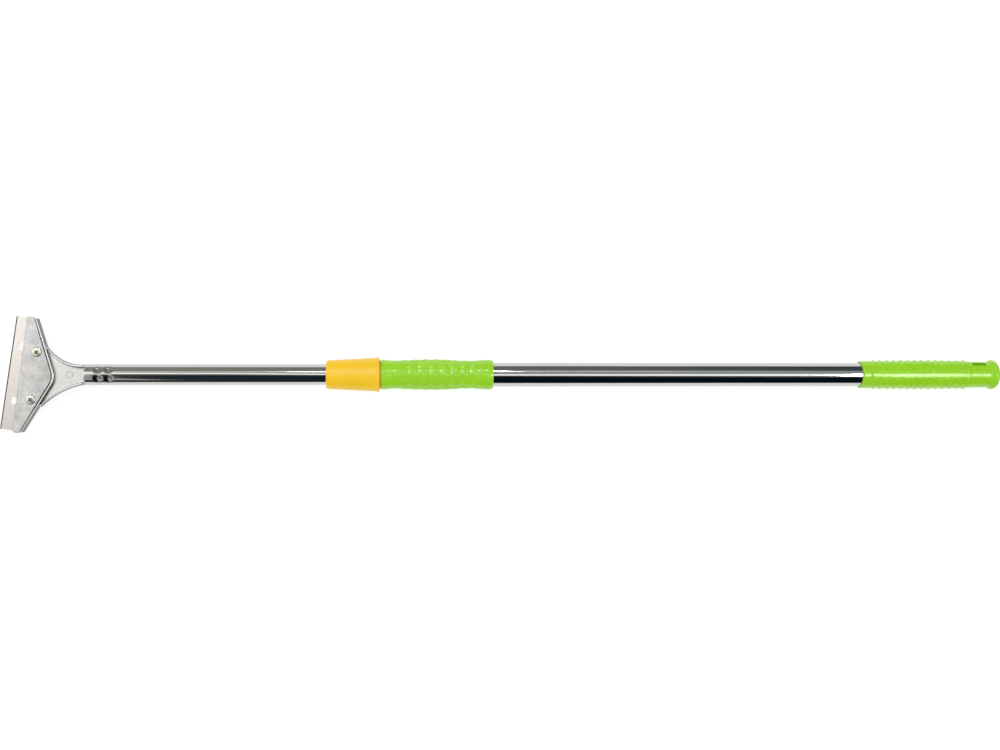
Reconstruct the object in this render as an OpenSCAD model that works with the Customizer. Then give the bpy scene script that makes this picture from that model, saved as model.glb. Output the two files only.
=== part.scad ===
// Telescopic blade scraper: a long-handled hand tool with a clamped steel blade.
// The pole runs along X, the head points to -X, the screw side of the head faces +Z.
// The origin lies under the middle of the tool, on the surface it rests on. Millimetres.

/* [Poles] */
// Outside diameter of the inner tube, which carries the head
inner_tube_d = 19; // [18.6:0.1:19.1]
// Outside diameter of the outer tube, which carries the grips
outer_tube_d = 22; // [21.8:0.1:22.1]
// Wall thickness of both tubes
tube_wall = 0.6; // [0.5:0.05:0.8]
// Length of inner tube in view between the head and the lock nut
inner_shown = 212.5; // [150:1:230]
// Length of outer tube in view between the two grips
outer_shown = 346.1; // [280:1:420]
// Whole length of the inner tube
inner_tube_len = 560; // [520:1:580]
// Depth of each crimp that holds the inner tube on the head
crimp_depth = 0.35; // [0.2:0.05:0.45]

/* [Twist lock] */
// Length of the lock nut
nut_len = 47.9; // [46:0.1:52]
// Outside radius at the front of the lock nut
nut_front_r = 13; // [12.6:0.1:13.4]
// Outside radius at the back of the lock nut, before its lip
nut_back_r = 15.35; // [14.9:0.05:15.7]
// Radius of the lip at the back of the lock nut
nut_lip_r = 15.85; // [15.6:0.05:16.5]
// Gap between the tightened lock nut and the front grip
nut_gap = 1.5; // [1.2:0.1:3]
// Travel of the lock nut in one turn
thread_pitch = 2.5; // [2:0.1:3]

/* [Grips] */
// Length of the front grip
front_grip_len = 102.2; // [95:0.1:110]
// Radius of the front grip at its middle
front_grip_r = 14.2; // [13.5:0.1:15]
// Length of the rear grip sleeve
rear_grip_len = 104.1; // [95:0.1:115]
// Greatest radius of the rear grip sleeve
rear_grip_r = 13.1; // [12.6:0.1:13.6]
// Length of the hanger cap behind the rear grip
cap_len = 30.4; // [28:0.2:34]
// Radius of the hanger cap's end flange
flange_r = 13.9; // [13:0.1:14.5]
// Length of the hanging slot
slot_len = 13.7; // [11:0.1:14.5]
// Width of the hanging slot
slot_w = 5; // [4:0.1:6]

/* [Head] */
// Length of the blade
blade_len = 101.6; // [90:0.2:102]
// Depth of the blade from its edge to its back, which stops short of the holder's rim
blade_depth = 17; // [16.4:0.1:17.3]
// Thickness of the blade
blade_t = 0.8; // [0.5:0.05:0.85]
// How far the blade stands out of the clamp plate
blade_proud = 10.5; // [9:0.1:11]
// Angle of the head to the pole
head_skew = 7.3; // [6.5:0.1:8]
// Angle of the blade to the head
blade_skew = 0.9; // [0:0.1:1]
// Distance between the two clamp screws
screw_pitch = 42.6; // [40:0.2:44]
// Thickness of the holder under the blade
base_t = 4; // [3.6:0.1:4.6]

/* [Hidden] */
$fn = 96;
run_clear = 0.05;
air = 0.3;
through = 200;

// Distances along the pole, counted from the joint between the head and the inner tube
screws_x = -45.65;
nut_x = inner_shown;
nut_end_x = nut_x + nut_len;
front_grip_x = nut_end_x + nut_gap;
front_grip_end_x = front_grip_x + front_grip_len;
rear_grip_x = front_grip_end_x + outer_shown;
cap_x = rear_grip_x + rear_grip_len;
far_end_x = cap_x + cap_len;

inner_r = inner_tube_d / 2;
outer_r = outer_tube_d / 2;
outer_bore_r = outer_r - tube_wall;

// Crimps in the inner tube: places, angle to either side, and the ball that presses them
crimp_x = [11.5, 20.8];
crimp_spread = 22;
crimp_ball_r = 13.7;

// Guide bush: how much of it the inner tube enters, its flange, its bore and its four cuts
bush_in = 22;
bush_flange = 4;
bush_bore_r = 7;
bush_cut_w = 1.6;
bush_cut_len = 12;

// Front grip: its radius at distances from its front, and its rounded end
grip_profile = [[0.6, 13.3], [1.6, 13.62], [5, 13.42], [9, 13], [13, 12.87], [17, 12.96],
                [21, 13.32], [27, 13.72], [35, 13.97], [43, front_grip_r], [49, front_grip_r],
                [55, 14.08], [61, 13.86], [66, 13.62], [71, 13.3], [77, 13.08], [83, 13.04],
                [87.5, 13.1], [92, 13.43], [95, 13.68], [97.5, 13.77]];
grip_end_round = 3.4;
grip_end_drop = 1.4;
grip_knots = 40;

// Lock sleeve and nut
nut_round = 2.7;
lip_w = 1.6;
lip_chamfer = 0.4;
nut_bore_r = inner_r + 0.4;
sleeve_bore_r = inner_r + air;
sleeve_r = inner_r + 2.4;
thread_r = inner_r + 2.95;
thread_throw = 0.5;
thread_turns = 3;
thread_steps = 20;
thread_len = thread_turns * thread_pitch;
thread_x = nut_x + 27;
sleeve_x = nut_x + 13.1;
seat_r = 11;
seat_len = 8;
seat_slope = (seat_r - sleeve_bore_r) / seat_len;
collar_r = thread_r + thread_throw;
collar_clear = 0.4;
collar_x = thread_x + thread_len + 1.5;
nut_collar_x = collar_x - 2.4;
outer_tube_x = front_grip_x + 1.4;
spigot_len = 21;
pocket_x = nut_x + 2.5;
pocket_len = 10;
pocket_r = 11.4;
sleeve_ahead = 1.2;
ring_x = pocket_x + air;
ring_rim_r = pocket_r - air;
ring_rim_len = 9;
ring_nose = 4;
ring_air = 0.35;
ring_slot_w = 2.2;

// Rear grip and hanger cap
rear_ease = 0.6;
rear_belly = 0.3;
cap_front_r = 12.3;
cap_back_r = 12;
cap_socket = 3;
flange_round = [4, 3.4];
flange_back = 5.2;
slot_from_front = 3.4;
slot_angle = 55;
outer_tube_end_x = cap_x + cap_socket - run_clear;

// Head, in a frame of its own: x to the handle, y along the blade, from the screws' middle
head_side = 1.15;
plate_front_x = -12.5;
edge_x = plate_front_x - blade_proud;
plate_half = 52.1;
plate_apex_x = 16.65;
bow_angle = 23.7;
bow_round = 16;
plate_gap = 0.9;
rim_w = 1.9;
holder_half = 51.2;
holder_front_x = plate_front_x + 1.6;
crease_x = 4;
plate_under_z = blade_t + run_clear;
plate_front_z = 2;
plate_top_z = 4;
rim_top_z = 4.4;
web_top_z = 0.4;
web_under_z = -2.8;
screw_r = 2.5;
screw_head_r = 4.2;
screw_head_t = 1.7;
screw_seat_z = 2.9;
screw_depth = 3;
cross_len = 4.4;
cross_w = 0.9;
cross_turn = 40;
window_w = 6.4;
window_len = 7.6;
window_x = edge_x + 6.55;
window_y = 24.3;
pip_w = 5.4;
pip_len = 1.2;
edge_bevel = 1.3;

// The neck's two flanks are arcs: [centre x, centre y, radius], from the pole joint
flank_up = [-3.24, 45.67, 36.74];
flank_down = [9.58, -75.27, 66.91];
rib_w = 2.2;
neck_top_z = 6.4;
neck_under_z = -8.6;
neck_half = 40;
spigot_in = 34;
spigot_bore_r = 6.2;
spigot_solid = 12;

head_reach = -screws_x - edge_x * cos(head_skew) + blade_len / 2 * sin(head_skew + blade_skew);
joint_x = (head_reach - far_end_x) / 2;
axis_z = nut_lip_r;

// Stands children at x along the pole, with their z axis along it
module on_pole(x) translate([joint_x + x, 0, axis_z]) rotate([0, 90, 0]) children();

// Turns children on the pole to an angle from +Z towards +Y
module around(angle) rotate([0, 0, 180 - angle]) children();

// Puts children in the head's frame
module in_head()
    translate([joint_x + screws_x, -head_side, axis_z]) rotate([0, 0, -head_skew]) children();

// Hollow turned body between two radii
module tube(outside, inside, length) {
    difference() {
        cylinder(r = outside, h = length);
        translate([0, 0, -1]) cylinder(r = inside, h = length + 2);
    }
}

// Points of the bow-shaped outline: a straight front, square ends, two slopes and a round apex
function bow(front, half, apex, round_r) =
    let (centre = apex - round_r / cos(bow_angle))
    concat([[front, -half], [apex - half * tan(bow_angle), -half]],
           [for (i = [-6:6]) let (a = bow_angle * i / 6)
               [centre + round_r * cos(a), round_r * sin(a)]],
           [[apex - half * tan(bow_angle), half], [front, half]]);

// The bow grown outwards from the clamp plate's own back edge
module grown_bow(front, half, grow)
    polygon(bow(front, half, plate_apex_x + grow / cos(bow_angle), bow_round + grow));

// Points of one flank of the neck, from the pole joint out to a reach
function flank(arc, reach, inset, side) =
    let (r = arc[2] + inset, start = asin(arc[0] / r), stop = asin((reach + arc[0]) / r))
    [for (i = [0:12]) let (a = start + (stop - start) * i / 12)
        [arc[0] - r * sin(a), arc[1] - side * r * cos(a)]];

// Outline of the neck, narrower by an inset all round
module neck_outline(inset, reach_up, reach_down) {
    up = flank(flank_up, reach_up, inset, 1);
    down = flank(flank_down, reach_down, inset, -1);
    polygon(concat(up, [for (i = [len(down) - 1:-1:0]) down[i]]));
}

// Side view of the neck, which grows from the flat base to the round tube
module neck_side() {
    polygon([[-46, 1 - base_t], [-34, 1 - base_t], [-8, neck_under_z], [0, neck_under_z],
             [0, neck_top_z], [-6, neck_top_z], [-24, rim_top_z - 1], [-46, rim_top_z - 1]]);
}

// The flanks' inner outline, cut off short of the joint so that the web ends in a wall
module web_outline(reach_up, reach_down) {
    difference() {
        neck_outline(rib_w, reach_up, reach_down);
        translate([-3, -neck_half / 2]) square([10, neck_half]);
    }
}

module neck() {
    difference() {
        intersection() {
            translate([0, 0, -through / 2]) linear_extrude(through) neck_outline(0, 36, 43);
            translate([0, neck_half, 0]) rotate([90, 0, 0]) linear_extrude(2 * neck_half) neck_side();
        }
        translate([0, 0, web_top_z]) linear_extrude(through) web_outline(39, 52);
        translate([0, 0, web_under_z - through]) linear_extrude(through) web_outline(22, 24);
    }
}

module blade_holder() color("silver") {
    difference() {
        union() {
            in_head() {
                translate([0, 0, -base_t]) linear_extrude(base_t)
                    grown_bow(holder_front_x, holder_half, plate_gap + rim_w);
                linear_extrude(rim_top_z) difference() {
                    grown_bow(holder_front_x + 4, holder_half, plate_gap + rim_w);
                    grown_bow(holder_front_x, holder_half + 1, plate_gap);
                }
                for (side = [-1, 1]) rotate([0, 0, -blade_skew])
                    translate([holder_front_x + air, side * window_y - pip_w / 2, -1])
                        cube([pip_len, pip_w, 1 + blade_t]);
            }
            difference() {
                translate([joint_x, 0, axis_z]) neck();
                in_head() linear_extrude(20)
                    grown_bow(holder_front_x, holder_half + 10, plate_gap + rim_w / 2);
            }
            on_pole(-3) cylinder(r = inner_r - tube_wall - run_clear, h = spigot_in + 3);
        }
        in_head() for (side = [-1, 1])
            translate([0, side * screw_pitch / 2, -screw_depth - 0.2])
                cylinder(r = screw_r + run_clear, h = 10);
        on_pole(spigot_solid) cylinder(r = spigot_bore_r, h = spigot_in);
    }
}

module clamp_plate() color("lightgray") in_head() difference() {
    intersection() {
        linear_extrude(10) grown_bow(plate_front_x, plate_half, 0);
        translate([0, 60, 0]) rotate([90, 0, 0]) linear_extrude(120)
            polygon([[plate_front_x - 1, plate_under_z], [20, plate_under_z], [20, plate_top_z],
                     [crease_x, plate_top_z], [plate_front_x, plate_front_z],
                     [plate_front_x - 1, plate_front_z]]);
    }
    for (side = [-1, 1]) translate([0, side * screw_pitch / 2, 0]) {
        cylinder(r = screw_r + 0.2, h = 10);
        translate([0, 0, screw_seat_z]) cylinder(r = screw_head_r + air, h = 10);
    }
}

module scraper_blade() color("whitesmoke") in_head() rotate([0, 0, -blade_skew]) difference() {
    translate([edge_x, blade_len / 2, 0]) rotate([90, 0, 0]) linear_extrude(blade_len)
        polygon([[0, run_clear], [edge_bevel, blade_t], [blade_depth, blade_t],
                 [blade_depth, run_clear]]);
    for (side = [-1, 1])
        translate([window_x, side * window_y - window_w / 2, -1])
            cube([window_len, window_w, blade_t + 2]);
}

module clamp_screw(side) color("ivory") in_head()
    translate([0, side * screw_pitch / 2, 0]) difference() {
        union() {
            translate([0, 0, -screw_depth]) cylinder(r = screw_r, h = screw_seat_z + screw_depth + 0.2);
            translate([0, 0, screw_seat_z + run_clear]) cylinder(r = screw_head_r, h = screw_head_t / 2);
            translate([0, 0, screw_seat_z + run_clear + screw_head_t / 2])
                cylinder(r1 = screw_head_r, r2 = screw_head_r - 0.8, h = screw_head_t / 2);
        }
        for (turn = [0, 90]) rotate([0, 0, turn + cross_turn])
            translate([-cross_len / 2, -cross_w / 2, screw_seat_z + 0.6])
                cube([cross_len, cross_w, 5]);
    }

module clamp_screw_a() clamp_screw(1);

module clamp_screw_b() clamp_screw(-1);

module inner_tube() color("gainsboro") on_pole(0) difference() {
    tube(inner_r, inner_r - tube_wall, inner_tube_len);
    for (half_turn = [0, 180], spread = [-crimp_spread, crimp_spread], x = crimp_x)
        translate([0, 0, x]) around(half_turn + spread)
            translate([inner_r - crimp_depth + crimp_ball_r, 0, 0]) sphere(r = crimp_ball_r);
}

module guide_bush() color("white") on_pole(inner_tube_len - bush_in) difference() {
    cylinder(r = outer_bore_r - run_clear, h = bush_in + bush_flange);
    translate([0, 0, -1]) cylinder(r = inner_r + run_clear, h = bush_in + air + 1);
    translate([0, 0, -1]) cylinder(r = bush_bore_r, h = bush_in + bush_flange + 2);
    for (turn = [0:90:270]) rotate([0, 0, turn])
        translate([0, -bush_cut_w / 2, -1]) cube([outer_r, bush_cut_w, bush_cut_len + 1]);
}

// Round thread: an off-centre circle turned along its axis
module thread_form(r)
    linear_extrude(thread_len, twist = -360 * thread_turns,
                   slices = thread_steps * thread_turns, $fn = thread_steps)
        translate([thread_throw, 0]) circle(r = r);

module lock_nut() color("gold") on_pole(nut_x) difference() {
    rotate_extrude() polygon(concat(
        [[0, 0], [nut_front_r - nut_round, 0]],
        [for (a = [15:15:75])
            [nut_front_r - nut_round * (1 - sin(a)), nut_round * (1 - cos(a))]],
        [[nut_front_r, nut_round], [nut_back_r, nut_len - lip_w - 1], [nut_lip_r, nut_len - lip_w],
         [nut_lip_r, nut_len - lip_chamfer], [nut_lip_r - lip_chamfer, nut_len], [0, nut_len]]));
    translate([0, 0, -1]) cylinder(r = nut_bore_r, h = nut_len + 2);
    translate([0, 0, pocket_x - nut_x]) cylinder(r = pocket_r, h = pocket_len);
    translate([0, 0, sleeve_x - nut_x - sleeve_ahead]) cylinder(r = sleeve_r + air, h = nut_len);
    translate([0, 0, thread_x - nut_x]) thread_form(thread_r + air);
    translate([0, 0, nut_collar_x - nut_x]) cylinder(r = collar_r + collar_clear, h = nut_len);
}

module collet_ring() color("white") on_pole(ring_x) difference() {
    rotate_extrude() polygon([[inner_r + run_clear, 0], [ring_rim_r, 0], [ring_rim_r, ring_rim_len],
        [seat_r - ring_air + seat_slope, sleeve_x - ring_x - 1],
        [seat_r - ring_air - seat_slope * ring_nose, sleeve_x - ring_x + ring_nose],
        [inner_r + run_clear, sleeve_x - ring_x + ring_nose]]);
    translate([0, -ring_slot_w / 2, -1]) cube([outer_r * 2, ring_slot_w, nut_len]);
}

module lock_sleeve() color("goldenrod") on_pole(sleeve_x) difference() {
    union() {
        cylinder(r = sleeve_r, h = collar_x - sleeve_x + 1);
        translate([0, 0, thread_x - sleeve_x]) thread_form(thread_r);
        translate([0, 0, collar_x - sleeve_x]) cylinder(r = collar_r, h = front_grip_x - collar_x - 0.2);
        cylinder(r = outer_r, h = outer_tube_x - sleeve_x - run_clear);
        cylinder(r = outer_bore_r - run_clear, h = outer_tube_x - sleeve_x + spigot_len);
    }
    translate([0, 0, -1]) cylinder(r = sleeve_bore_r, h = through);
    cylinder(r1 = seat_r, r2 = sleeve_bore_r, h = seat_len);
}

module outer_tube() color("gainsboro") on_pole(outer_tube_x)
    tube(outer_r, outer_bore_r, outer_tube_end_x - outer_tube_x);

module front_grip() color("yellowgreen") on_pole(front_grip_x) difference() {
    from = grip_profile[0][0];
    to = front_grip_len - grip_end_round - 1.2;
    end_r = lookup(to, grip_profile);
    rotate_extrude() polygon(concat([[0, 0], [grip_profile[0][1] - from, 0]],
        [for (i = [0:grip_knots]) let (x = from + (to - from) * i / grip_knots)
            [lookup(x, grip_profile), x]],
        [for (a = [20:20:80]) [end_r - grip_end_drop * (1 - cos(a)), to + (front_grip_len - to) * sin(a)]],
        [[end_r - grip_end_drop, front_grip_len], [0, front_grip_len]]));
    translate([0, 0, -1]) cylinder(r = outer_r + run_clear, h = front_grip_len + 2);
}

module rear_grip() color("yellowgreen") on_pole(rear_grip_x) difference() {
    rotate_extrude() polygon(concat([[0, 0], [rear_grip_r - rear_ease, 0]],
        [for (i = [0:12]) let (t = i / 12)
            [rear_grip_r - rear_belly * (1 - sin(180 * t)), rear_ease + t * (rear_grip_len - 2 * rear_ease)]],
        [[rear_grip_r - rear_ease - rear_belly, rear_grip_len], [0, rear_grip_len]]));
    translate([0, 0, -1]) cylinder(r = outer_r + run_clear, h = rear_grip_len + 2);
}

module hanger_cap() color("yellowgreen") on_pole(cap_x) difference() {
    rotate_extrude() polygon(concat(
        [[0, 0], [cap_front_r, 0], [cap_back_r, cap_len - flange_back - flange_round[0]]],
        [for (a = [-75:15:75])
            [flange_r - flange_round[1] * (1 - cos(a)), cap_len - flange_back + flange_round[0] * sin(a)]],
        [[flange_r / 2, cap_len - 0.3], [0, cap_len]]));
    translate([0, 0, -1]) cylinder(r = outer_r + run_clear, h = cap_socket + 1);
    translate([0, 0, slot_from_front]) around(slot_angle) translate([-outer_r * 2, -slot_w / 2, 0])
        cube([outer_r * 4, slot_w, slot_len]);
}

blade_holder();
clamp_plate();
scraper_blade();
clamp_screw_a();
clamp_screw_b();
inner_tube();
guide_bush();
lock_nut();
collet_ring();
lock_sleeve();
outer_tube();
front_grip();
rear_grip();
hanger_cap();
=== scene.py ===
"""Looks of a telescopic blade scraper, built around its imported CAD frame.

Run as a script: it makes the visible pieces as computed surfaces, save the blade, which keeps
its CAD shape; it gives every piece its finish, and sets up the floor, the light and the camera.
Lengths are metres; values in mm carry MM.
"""
import math

import bpy
import numpy as np
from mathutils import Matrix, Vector


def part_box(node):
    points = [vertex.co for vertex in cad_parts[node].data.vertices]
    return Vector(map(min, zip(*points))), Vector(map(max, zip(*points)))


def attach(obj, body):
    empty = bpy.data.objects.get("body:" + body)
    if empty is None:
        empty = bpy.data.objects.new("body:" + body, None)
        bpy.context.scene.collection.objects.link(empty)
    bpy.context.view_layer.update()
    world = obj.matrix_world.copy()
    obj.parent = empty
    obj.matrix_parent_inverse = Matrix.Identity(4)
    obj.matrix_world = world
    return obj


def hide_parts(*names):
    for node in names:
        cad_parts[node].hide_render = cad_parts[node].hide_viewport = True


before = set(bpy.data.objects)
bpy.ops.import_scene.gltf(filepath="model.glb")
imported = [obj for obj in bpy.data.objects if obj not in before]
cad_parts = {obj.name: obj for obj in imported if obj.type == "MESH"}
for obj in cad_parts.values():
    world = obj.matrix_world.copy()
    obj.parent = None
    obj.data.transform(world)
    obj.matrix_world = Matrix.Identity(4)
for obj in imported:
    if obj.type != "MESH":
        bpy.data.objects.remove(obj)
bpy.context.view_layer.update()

bl_info = {
    "name": "Blade Scraper Looks",
    "version": (1, 0, 0),
    "blender": (4, 5, 0),
    "location": "View3D > Sidebar > Scraper",
    "description": "Builds the pieces, finishes and studio of a telescopic blade scraper",
    "category": "Add Mesh",
}

MM = 0.001


# ---- places, all from the frame

def span(node):
    """First and last x of a CAD node."""
    low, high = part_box(node)
    return low.x, high.x


def radius(node):
    """Half the height of a CAD node that is round about the pole."""
    low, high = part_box(node)
    return (high.z - low.z) / 2


SCREWS = [sum(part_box(name), Vector()) / 2 for name in ("clamp_screw_b", "clamp_screw_a")]
AXIS_Z = sum(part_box("outer_tube"), Vector()).z / 2
JOINT_X = span("inner_tube")[0]
INNER_R = radius("inner_tube")
OUTER_R = radius("outer_tube")
HEAD_MID = (SCREWS[0] + SCREWS[1]) / 2
HEAD_SKEW = math.atan2(SCREWS[1].x - SCREWS[0].x, SCREWS[1].y - SCREWS[0].y)


# ---- colours

def linear(code):
    """Scene-linear RGBA of an sRGB hex code."""
    parts = [int(code[i:i + 2], 16) / 255 for i in (0, 2, 4)]
    return [c / 12.92 if c <= 0.04045 else ((c + 0.055) / 1.055) ** 2.4 for c in parts] + [1.0]


def colour(label, about, code):
    """A colour property whose default is an sRGB hex code."""
    return bpy.props.FloatVectorProperty(
        name=label, description=about, subtype="COLOR", size=4, min=0, max=1, default=linear(code))


def length(label, about, mm):
    """A length property given in millimetres."""
    return bpy.props.FloatProperty(
        name=label, description=about, unit="LENGTH", subtype="DISTANCE", default=mm * MM, precision=5)


# ---- settings a user would change

class HeadSettings(bpy.types.PropertyGroup):
    """Sizes and colours of the cast head and its blade."""
    rim_width: length("Rim width", "Width of the raised rim behind the clamp plate", 1.5)
    rim_top: length("Rim height", "Top of the rim above the blade seat", 4.4)
    base: length("Base thickness", "Thickness of the holder under the blade", 4.0)
    gap: length("Plate gap", "Gap between the clamp plate and the rim", 0.9)
    rib: length("Rib width", "Width of the ribs along the neck", 2.2)
    web: length("Web height", "Top of the neck's web above the blade seat", 0.4)
    plate_top: length("Plate height", "Top of the clamp plate behind its crease", 4.0)
    plate_front: length("Plate front", "Top of the clamp plate at its front edge", 2.0)
    casting: colour("Casting", "Die-cast aluminium of the holder", "F8F6F3")
    plate: colour("Clamp plate", "Sand-textured casting of the clamp plate", "E0E0DF")
    blade: colour("Blade", "Ground blade steel", "EDE8E3")
    screw: colour("Screws", "Pale yellow zinc plate", "FAF6E4")


class PoleSettings(bpy.types.PropertyGroup):
    """Sizes and colours of the two chromed tubes."""
    wall: length("Wall", "Wall thickness of both tubes", 0.6)
    crimp: length("Crimp depth", "Depth of the crimps that hold the head", 0.8)
    chrome: colour("Chrome", "Bright chrome plate on steel tube", "C6C5C3")


class LockSettings(bpy.types.PropertyGroup):
    """Sizes and colours of the twist lock."""
    pitch: length("Thread pitch", "Travel of the nut in one turn", 2.5)
    nut: colour("Lock nut", "Yellow moulded ABS", "F6C600")
    # The sleeve's own yellow, darkened as painted shade for the gap between nut and grip where it shows.
    sleeve: colour("Sleeve", "Yellow moulded nylon in the gap", "D9B21C")
    nylon: colour("Nylon", "Natural nylon of the hidden rings", "E9E6DA")


class GripSettings(bpy.types.PropertyGroup):
    """Sizes and colours of the green grips."""
    dimple: length("Dimple depth", "Depth of the front grip's dimples", 0.5)
    bump: length("Bump height", "Height of the rear grip's bumps", 0.95)
    green: colour("Grip", "Green moulded polypropylene", "95D41E")


class StageSettings(bpy.types.PropertyGroup):
    """Camera and floor."""
    lens: bpy.props.FloatProperty(name="Lens", description="Focal length", unit="CAMERA", default=41.4)
    distance: length("Distance", "From the camera to the pole's axis", 1058.6)
    tilt: bpy.props.FloatProperty(
        name="Tilt", description="Lean of the view along the pole", subtype="ANGLE", default=math.radians(4.5))
    floor: colour("Floor", "Plain pale floor", "FFFFFF")


# ---- surfaces

def rounded(corners, steps=5):
    """Closed outline whose corners are arcs. Each corner is (a, b, radius): an arc tangent to both
    of its sides stands in for it, from one tangent point to the other."""
    points = np.array([c[:2] for c in corners], float)
    outline = []
    for i, (_, _, size) in enumerate(corners):
        before, here, after = points[i - 1], points[i], points[(i + 1) % len(points)]
        to_before, to_after = before - here, after - here
        room = min(np.linalg.norm(to_before), np.linalg.norm(to_after)) * 0.49
        one = to_before / np.linalg.norm(to_before)
        two = to_after / np.linalg.norm(to_after)
        half = math.acos(np.clip(one @ two, -1, 1)) / 2
        cut = min(size / max(math.tan(half), 1e-6), room)
        if size <= 0 or abs(half - math.pi / 2) < 1e-3:
            outline.append(here)
            continue
        size = cut * math.tan(half)
        bisector = (one + two) / np.linalg.norm(one + two)
        centre = here + bisector * size / math.sin(half)
        start, stop = here + one * cut - centre, here + two * cut - centre
        turn = math.atan2(start[0] * stop[1] - start[1] * stop[0], start @ stop)
        for t in np.linspace(0, turn, steps):
            c, s = math.cos(t), math.sin(t)
            outline.append(centre + [start[0] * c - start[1] * s, start[0] * s + start[1] * c])
    return np.array(outline)


def closer(outline, step):
    """The same closed outline with its long sides cut into equal parts no longer than a step."""
    ends = np.roll(outline, -1, axis=0)
    rows = []
    for start, end in zip(outline, ends):
        count = max(1, int(math.ceil(np.linalg.norm(end - start) / step)))
        rows.append(start + (end - start) * (np.arange(count) / count)[:, None])
    return np.vstack(rows)


def turned(outline, segments, relief=None):
    """Outline of (x, r) points turned about the pole: (x, r sin a, r cos a), where a runs from +Z
    towards +Y. A relief function of (x, r, a) adds to the radius."""
    angle = np.arange(segments) * (2 * math.pi / segments)
    x, a = np.broadcast_arrays(outline[:, :1], angle)
    r = np.broadcast_to(outline[:, 1:2], x.shape)
    if relief is not None:
        r = r + relief(x, r, a)
    return np.stack([x, r * np.sin(a), AXIS_Z + r * np.cos(a)], -1)


def upright(outline, segments, centre, relief=None):
    """Outline of (z, r) points turned about a vertical line through a centre: (r cos a, r sin a, z).
    A relief function of (x, y, z, r) adds to the height."""
    angle = np.arange(segments) * (2 * math.pi / segments)
    z, a = np.broadcast_arrays(outline[:, :1], angle)
    r = np.broadcast_to(outline[:, 1:2], z.shape)
    x, y = r * np.cos(a), r * np.sin(a)
    if relief is not None:
        z = z + relief(x, y, z, r)
    return np.stack([centre[0] + x, centre[1] + y, z], -1)


def in_head(along, back, height):
    """Head frame to row frame: along the blade, back from the screws to the handle, and up from
    the blade seat, turned by the head's skew about the middle of the screws."""
    s, c = math.sin(HEAD_SKEW), math.cos(HEAD_SKEW)
    return np.stack([HEAD_MID.x + back * c + along * s, HEAD_MID.y - back * s + along * c,
                     AXIS_Z + height + 0 * along], -1)


def shell(points, loop=False, caps="faces"):
    """Quads over a grid of points whose columns close on themselves. loop joins the last row to
    the first; otherwise each end is closed, with one face or with a fan about its middle."""
    rows, cols = points.shape[:2]
    index = np.arange(rows * cols).reshape(rows, cols)
    upper = index if loop else index[:-1]
    lower = np.roll(index, -1, axis=0) if loop else index[1:]
    quads = np.stack([upper, np.roll(upper, -1, 1), np.roll(lower, -1, 1), lower], -1).reshape(-1, 4)
    verts, faces = points.reshape(-1, 3), quads.tolist()
    if not loop:
        for ring, flip in ((index[0], True), (index[-1], False)):
            order = ring[::-1] if flip else ring
            if caps == "fan":
                verts = np.vstack([verts, verts[ring].mean(0)])
                middle = len(verts) - 1
                faces += [[int(a), int(b), middle] for a, b in zip(order, np.roll(order, -1))]
            else:
                faces.append(order.tolist())
    return verts, faces


def facing_out(verts, faces):
    """Turns the faces round if the volume they enclose counts as negative. Each face is a fan of
    triangles from its first corner."""
    fans = np.array([(f[0], one, two) for f in faces for one, two in zip(f[1:], f[2:])])
    a, b, c = (verts[fans[:, i]] for i in range(3))
    return faces if (np.cross(a, b) * c).sum() > 0 else [f[::-1] for f in faces]


def make_piece(name, shells, body, replaces, material, sharp=35):
    """One mesh object from closed shells, smooth up to an angle, riding on its body."""
    verts, faces = [], []
    for shell_verts, shell_faces in shells:
        shift = sum(len(v) for v in verts)
        faces += [[i + shift for i in f] for f in facing_out(shell_verts, shell_faces)]
        verts.append(shell_verts)
    mesh = bpy.data.meshes.new(name)
    mesh.from_pydata(np.vstack(verts).tolist(), [], faces)
    mesh.validate()
    mesh.shade_smooth()
    mesh.set_sharp_from_angle(angle=math.radians(sharp))
    piece = bpy.data.objects.new(name, mesh)
    bpy.context.scene.collection.objects.link(piece)
    mesh.materials.append(material)
    if body:
        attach(piece, body)
        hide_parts(*replaces)
    return piece


def make_tool(name, one_shell, material):
    """A helper mesh for combine(), which rides on nothing."""
    return make_piece(name, [one_shell], None, [], material)


def combine(piece, tool, operation):
    """Cuts one closed mesh with another, or joins them, and keeps the result."""
    modifier = piece.modifiers.new("cut", "BOOLEAN")
    modifier.operation = operation
    modifier.object = tool
    modifier.solver = "MANIFOLD"
    graph = bpy.context.evaluated_depsgraph_get()
    result = bpy.data.meshes.new_from_object(piece.evaluated_get(graph))
    piece.modifiers.clear()
    piece.data = result
    result.set_sharp_from_angle(angle=math.radians(35))
    bpy.data.objects.remove(tool)


def smoothstep(t):
    """0 below 0, 1 above 1, and a smooth rise between."""
    t = np.clip(t, 0, 1)
    return t * t * (3 - 2 * t)


def kept_to(relief, test):
    """The same relief, kept to the radii that pass a test."""
    return lambda x, r, a: relief(x, r, a) * test(r)


# ---- finishes

def feed(tree, node, inputs):
    """Feeds a node. inputs maps socket names or numbers to values, or to what they are linked from:
    a socket, or a node's first output."""
    for key, value in inputs.items():
        if isinstance(value, bpy.types.Node):
            value = value.outputs[0]
        if isinstance(value, bpy.types.NodeSocket):
            tree.links.new(value, node.inputs[key])
        else:
            node.inputs[key].default_value = value


def add(tree, kind, inputs=None, **settings):
    """Adds a node with its settings, and feeds it."""
    node = tree.nodes.new(kind)
    for key, value in settings.items():
        setattr(node, key, value)
    feed(tree, node, inputs or {})
    return node


def new_material(name):
    """An empty node material with a Principled shader, its output and Object coordinates."""
    material = bpy.data.materials.new(name)
    material.use_nodes = True
    tree = material.node_tree
    tree.nodes.clear()
    shader = add(tree, "ShaderNodeBsdfPrincipled")
    add(tree, "ShaderNodeOutputMaterial", {"Surface": shader})
    coords = add(tree, "ShaderNodeTexCoord").outputs["Object"]
    return material, tree, shader, coords


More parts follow.
